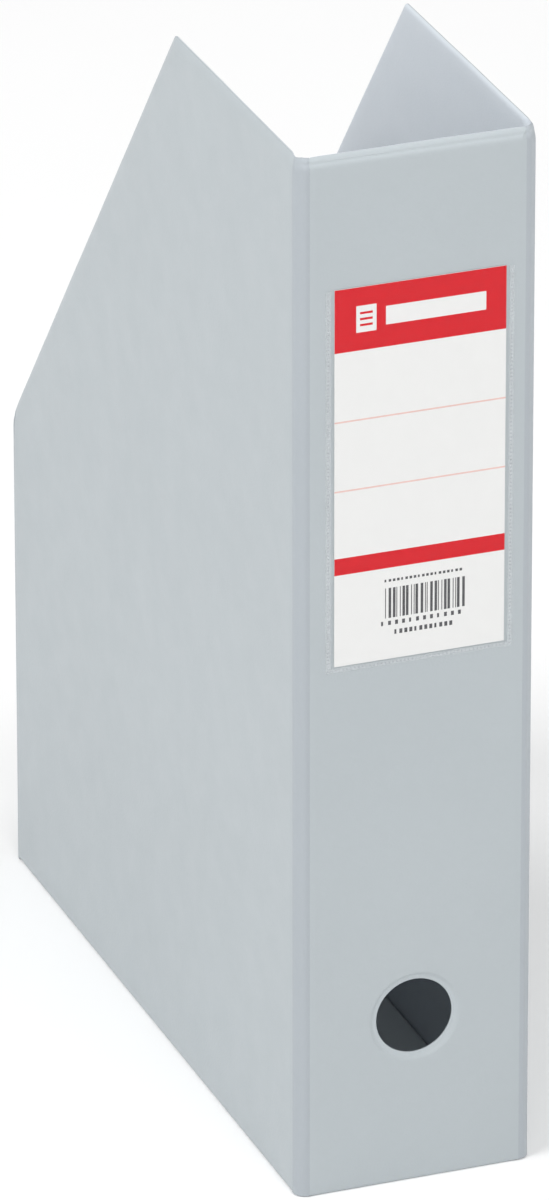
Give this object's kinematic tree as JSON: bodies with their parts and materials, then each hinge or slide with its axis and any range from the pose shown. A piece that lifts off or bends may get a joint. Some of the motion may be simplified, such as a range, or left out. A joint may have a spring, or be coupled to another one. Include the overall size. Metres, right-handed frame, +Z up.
{
  "type": "magazine file holder",
  "caption": "Upright foil-covered board magazine file with a low back, slanted sides, a finger hole and a clear label pocket on the spine; folds flat.",
  "frame": {"origin": "centre of the base, on the surface it stands on", "axes": "+Z up; the spine with the label faces -Y; +X to the right when facing the spine"},
  "size_m": [0.072, 0.242, 0.32],
  "materials": {
    "greyboard": "matt",
    "outer_foil": "semi-matt, fine grain",
    "inner_foil": "semi-matt, fine grain",
    "hinge_foil": "semi-matt, creased",
    "clear_film": "clear gloss",
    "label_print": "smooth printed card"
  },
  "bodies": {
    "left_side": {"left_side_board": "greyboard", "left_side_cover": "outer_foil", "left_side_lining": "inner_foil", "front_left_hinge": "hinge_foil", "back_left_hinge": "hinge_foil", "bottom_hinge": "hinge_foil"},
    "spine": {"spine_board": "greyboard", "spine_cover": "outer_foil", "spine_lining": "inner_foil", "finger_hole_rim": "outer_foil", "label_pocket": "clear_film", "front_right_hinge": "hinge_foil"},
    "right_side": {"right_side_board": "greyboard", "right_side_cover": "outer_foil", "right_side_lining": "inner_foil"},
    "back_wall": {"back_wall_board": "greyboard", "back_wall_cover": "outer_foil", "back_wall_lining": "inner_foil", "back_right_hinge": "hinge_foil"},
    "flange": {"seam_flange": "hinge_foil"},
    "bottom": {"bottom_board": "greyboard", "bottom_cover": "outer_foil", "bottom_lining": "inner_foil"},
    "label_card": {"label_card": "label_print"}
  },
  "joints": [
    {"name": "spine_fold", "type": "hinge", "parent": "left_side", "child": "spine", "pos_m": [-0.0348, -0.11915, 0], "axis": [0, 0, -1], "range_deg": [0, 90], "deforming": ["front_left_hinge"]},
    {"name": "right_side_fold", "type": "hinge", "parent": "spine", "child": "right_side", "pos_m": [0.0321, -0.11645, 0], "axis": [0, 0, -1], "range_deg": [-90, 0], "deforming": ["front_right_hinge"]},
    {"name": "back_wall_fold", "type": "hinge", "parent": "left_side", "child": "back_wall", "pos_m": [-0.0321, 0.1171, 0], "axis": [0, 0, -1], "range_deg": [0, 90], "deforming": ["back_left_hinge"]},
    {"name": "flange_fold", "type": "hinge", "parent": "back_wall", "child": "flange", "pos_m": [0.0348, 0.1198, 0], "axis": [0, 0, -1], "range_deg": [-90, 0], "deforming": ["back_right_hinge"]},
    {"name": "bottom_fold", "type": "hinge", "parent": "left_side", "child": "bottom", "pos_m": [-0.0365, 0, 0.0002], "axis": [0, 1, 0], "range_deg": [0, 270], "deforming": ["bottom_hinge"]},
    {"name": "label_slide", "type": "slide", "parent": "spine", "child": "label_card", "axis": [0, 0, 1], "range_m": [0, 0.11]}
  ],
  "couplings": [
    {"joint": "right_side_fold", "follows": "spine_fold", "ratio": -1},
    {"joint": "back_wall_fold", "follows": "spine_fold", "ratio": 1},
    {"joint": "flange_fold", "follows": "spine_fold", "ratio": -1},
    {"joint": "bottom_fold", "follows": "spine_fold", "ratio": 3}
  ]
}
